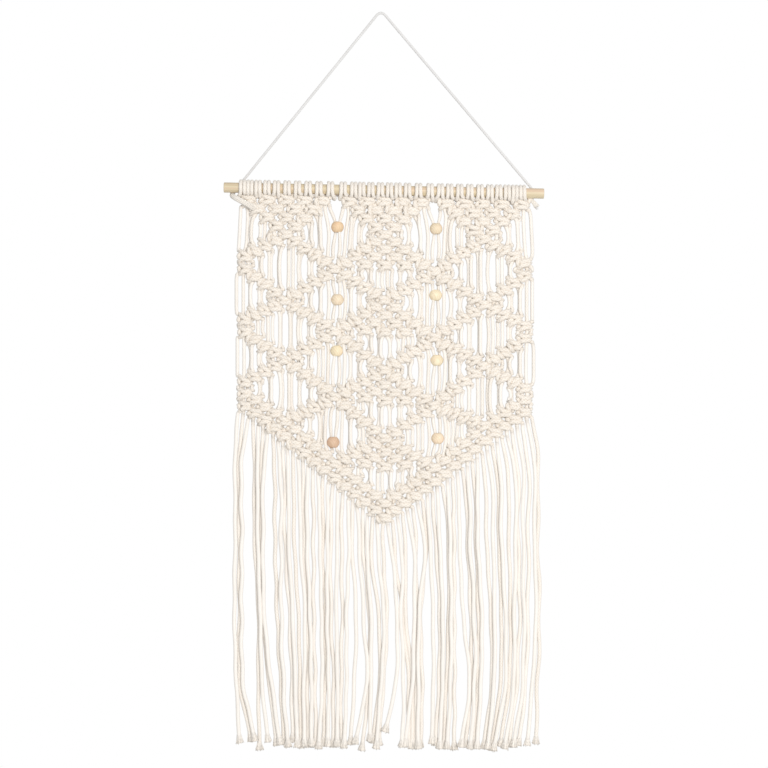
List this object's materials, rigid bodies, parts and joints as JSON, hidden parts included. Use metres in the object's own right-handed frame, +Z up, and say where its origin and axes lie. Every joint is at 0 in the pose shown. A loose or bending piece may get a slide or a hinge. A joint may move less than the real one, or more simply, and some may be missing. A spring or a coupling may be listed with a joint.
{
  "type": "macrame wall hanging with wooden rod",
  "caption": "Knotted cotton wall hanging: an openwork net of square knots with a V-shaped lower edge, a long fringe and threaded wooden beads, on a wooden rod that hangs from a thin cord.",
  "frame": {"origin": "hang point: the top of the nail or hook, where the hanging cord rests on it", "axes": "+Z up, +X to the viewer's right, the front faces -Y, the wall is on the +Y side"},
  "size_m": [0.3802, 0.0258, 0.8779],
  "materials": {
    "cotton": "matte, soft braided cotton cord",
    "hanging_cotton": "matte, thin twisted cotton cord",
    "rod_wood": "plain, sanded",
    "bead_wood": "plain, smooth",
    "dark_bead_wood": "plain, smooth"
  },
  "bodies": {
    "root": {"rod": "rod_wood", "hanging_cord": "hanging_cotton", "net": "cotton", "fringe": "cotton", "bead_left_1": "bead_wood", "bead_left_2": "bead_wood", "bead_left_3": "bead_wood", "bead_left_4": "dark_bead_wood", "bead_right_1": "bead_wood", "bead_right_2": "bead_wood", "bead_right_3": "bead_wood", "bead_right_4": "bead_wood"}
  },
  "joints": []
}
